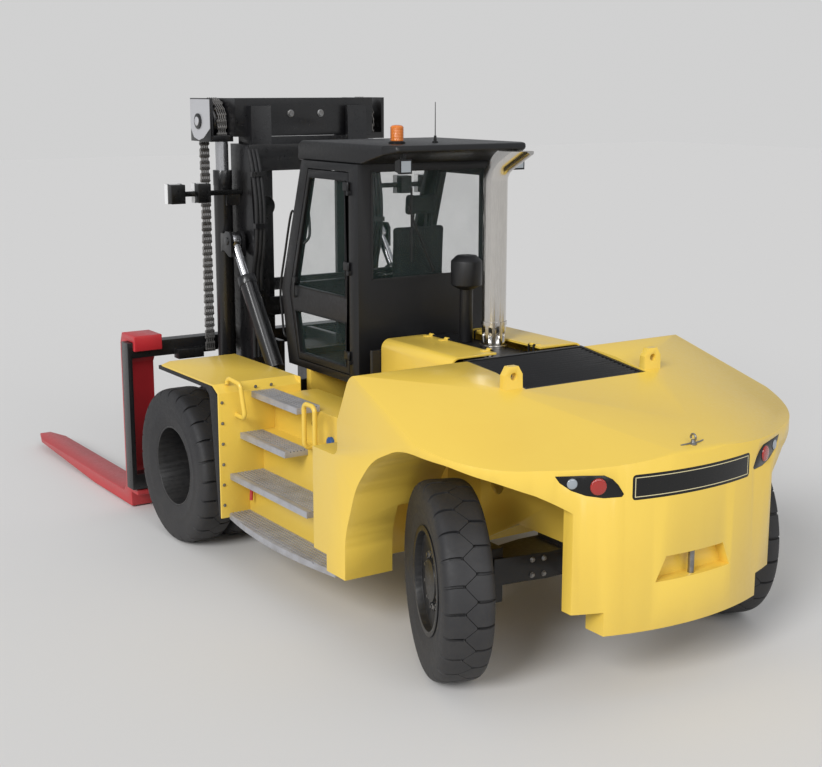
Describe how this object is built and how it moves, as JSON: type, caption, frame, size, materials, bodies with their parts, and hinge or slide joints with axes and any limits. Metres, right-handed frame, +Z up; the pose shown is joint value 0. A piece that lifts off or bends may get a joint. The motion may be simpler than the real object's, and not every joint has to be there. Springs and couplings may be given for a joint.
{
  "type": "diesel counterbalance forklift truck",
  "caption": "Heavy counterbalance forklift with twin front wheels, steered rear wheels, cab, two-stage mast and two sliding forks.",
  "frame": {"origin": "on the ground at the middle of the truck's bounding box, forks included", "axes": "+Y forward to the fork tips, +X to the truck's right, +Z up"},
  "size_m": [2.91, 7.894, 3.454],
  "materials": {
    "yellow_paint": "gloss",
    "black_paint": "satin",
    "mast_black": "satin",
    "fork_red": "satin",
    "engine_grey": "satin",
    "tyre_rubber": "matt",
    "guard_rubber": "matt",
    "rim_black": "satin",
    "tread_aluminium": "ribbed",
    "stack_steel": "polished",
    "rod_chrome": "polished",
    "chain_steel": "oiled",
    "cab_glass": "clear",
    "seat_fabric": "woven",
    "control_plastic": "matt",
    "amber_lens": "gloss",
    "lamp_black": "gloss",
    "filter_plastic": "matt"
  },
  "bodies": {
    "chassis": {"cab_frame": "black_paint", "cab_roof": "black_paint", "steer_axle": "black_paint", "radiator_grille": "black_paint", "hood_deck": "black_paint", "drive_axle": "black_paint", "radiator": "black_paint", "chassis_frame": "yellow_paint", "front_fenders": "yellow_paint", "side_tanks": "yellow_paint", "counterweight": "yellow_paint", "handrails": "yellow_paint", "mudguards": "guard_rubber", "engine_block": "engine_grey", "step_treads": "tread_aluminium", "exhaust_stack": "stack_steel", "air_cleaner": "filter_plastic", "cab_glass": "cab_glass", "seat": "seat_fabric", "driver_controls": "control_plastic", "beacon": "amber_lens", "work_lamps": "lamp_black", "tail_lamps": "lamp_black"},
    "front_wheel_left": {"front_rim_left": "rim_black", "front_tyres_left": "tyre_rubber"},
    "front_wheel_right": {"front_rim_right": "rim_black", "front_tyres_right": "tyre_rubber"},
    "knuckle_left": {"steer_knuckle_left": "black_paint"},
    "knuckle_right": {"steer_knuckle_right": "black_paint"},
    "rear_wheel_left": {"rear_rim_left": "rim_black", "rear_tyre_left": "tyre_rubber"},
    "rear_wheel_right": {"rear_rim_right": "rim_black", "rear_tyre_right": "tyre_rubber"},
    "engine_cover_left": {"engine_cover_left": "yellow_paint"},
    "engine_cover_right": {"engine_cover_right": "yellow_paint"},
    "door_left": {"door_left": "black_paint", "door_glass_left": "cab_glass"},
    "door_right": {"door_right": "black_paint", "door_glass_right": "cab_glass"},
    "mast": {"mast_outer": "mast_black", "lift_cylinders": "mast_black", "mast_lamps": "lamp_black"},
    "inner_mast": {"mast_inner": "mast_black", "lift_rods": "rod_chrome", "lift_chains": "chain_steel"},
    "carriage": {"carriage": "mast_black"},
    "fork_left": {"fork_left": "fork_red"},
    "fork_right": {"fork_right": "fork_red"},
    "tilt_barrel_left": {"tilt_barrel_left": "mast_black"},
    "tilt_barrel_right": {"tilt_barrel_right": "mast_black"},
    "tilt_rod_left": {"tilt_rod_left": "rod_chrome"},
    "tilt_rod_right": {"tilt_rod_right": "rod_chrome"}
  },
  "joints": [
    {"name": "mast_tilt", "type": "hinge", "parent": "chassis", "child": "mast", "pos_m": [0, 0.66, 0.56], "axis": [-1, 0, 0], "range_deg": [-10, 6]},
    {"name": "mast_lift", "type": "slide", "parent": "mast", "child": "inner_mast", "axis": [0, 0, 1], "range_m": [0, 1.65]},
    {"name": "carriage_lift", "type": "slide", "parent": "inner_mast", "child": "carriage", "axis": [0, 0, 1], "range_m": [0, 1.65]},
    {"name": "fork_left_shift", "type": "slide", "parent": "carriage", "child": "fork_left", "axis": [1, 0, 0], "range_m": [0, 0.9]},
    {"name": "fork_right_shift", "type": "slide", "parent": "carriage", "child": "fork_right", "axis": [-1, 0, 0], "range_m": [0, 0.9]},
    {"name": "front_wheel_left_roll", "type": "hinge", "parent": "chassis", "child": "front_wheel_left", "pos_m": [-1.125, 0.365, 0.613], "axis": [-1, 0, 0], "continuous": true},
    {"name": "front_wheel_right_roll", "type": "hinge", "parent": "chassis", "child": "front_wheel_right", "pos_m": [1.125, 0.365, 0.613], "axis": [-1, 0, 0], "continuous": true},
    {"name": "steer_left", "type": "hinge", "parent": "chassis", "child": "knuckle_left", "pos_m": [-0.98, -3.02, 0.613], "axis": [0, 0, 1], "range_deg": [-43.6, 86.4]},
    {"name": "steer_right", "type": "hinge", "parent": "chassis", "child": "knuckle_right", "pos_m": [0.98, -3.02, 0.613], "axis": [0, 0, 1], "range_deg": [-43.6, 86.4]},
    {"name": "rear_wheel_left_roll", "type": "hinge", "parent": "knuckle_left", "child": "rear_wheel_left", "pos_m": [-1.11035, -2.96892, 0.613], "axis": [-0.9311, 0.3649, 0], "continuous": true},
    {"name": "rear_wheel_right_roll", "type": "hinge", "parent": "knuckle_right", "child": "rear_wheel_right", "pos_m": [1.11035, -3.07108, 0.613], "axis": [-0.9311, 0.3649, 0], "continuous": true},
    {"name": "engine_cover_left", "type": "hinge", "parent": "chassis", "child": "engine_cover_left", "pos_m": [-0.184, -1.72, 1.806], "axis": [0, 1, 0], "range_deg": [0, 70]},
    {"name": "engine_cover_right", "type": "hinge", "parent": "chassis", "child": "engine_cover_right", "pos_m": [0.184, -1.72, 1.806], "axis": [0, -1, 0], "range_deg": [0, 70]},
    {"name": "door_left_swing", "type": "hinge", "parent": "chassis", "child": "door_left", "pos_m": [-0.6285, -1.018, 2.2], "axis": [0, 0, 1], "range_deg": [0, 110]},
    {"name": "door_right_swing", "type": "hinge", "parent": "chassis", "child": "door_right", "pos_m": [0.6285, -1.018, 2.2], "axis": [0, 0, -1], "range_deg": [0, 110]},
    {"name": "tilt_barrel_left_pivot", "type": "hinge", "parent": "chassis", "child": "tilt_barrel_left", "pos_m": [-0.695, -0.075, 1.29], "axis": [-1, 0, 0], "range_deg": [-11.74, 7.08]},
    {"name": "tilt_rod_left_slide", "type": "slide", "parent": "tilt_barrel_left", "child": "tilt_rod_left", "axis": [0, 0.5852, 0.8109], "range_m": [-0.1775, 0.1069]},
    {"name": "tilt_barrel_right_pivot", "type": "hinge", "parent": "chassis", "child": "tilt_barrel_right", "pos_m": [0.695, -0.075, 1.29], "axis": [-1, 0, 0], "range_deg": [-11.74, 7.08]},
    {"name": "tilt_rod_right_slide", "type": "slide", "parent": "tilt_barrel_right", "child": "tilt_rod_right", "axis": [0, 0.5852, 0.8109], "range_m": [-0.1775, 0.1069]}
  ],
  "couplings": [
    {"joint": "carriage_lift", "follows": "mast_lift", "ratio": 1},
    {"joint": "steer_right", "follows": "steer_left", "ratio": 1},
    {"joint": "tilt_barrel_left_pivot", "follows": "mast_tilt", "ratio": 1.164},
    {"joint": "tilt_rod_left_slide", "follows": "mast_tilt", "m_per_rad": 1.011},
    {"joint": "tilt_barrel_right_pivot", "follows": "mast_tilt", "ratio": 1.164},
    {"joint": "tilt_rod_right_slide", "follows": "mast_tilt", "m_per_rad": 1.011}
  ]
}
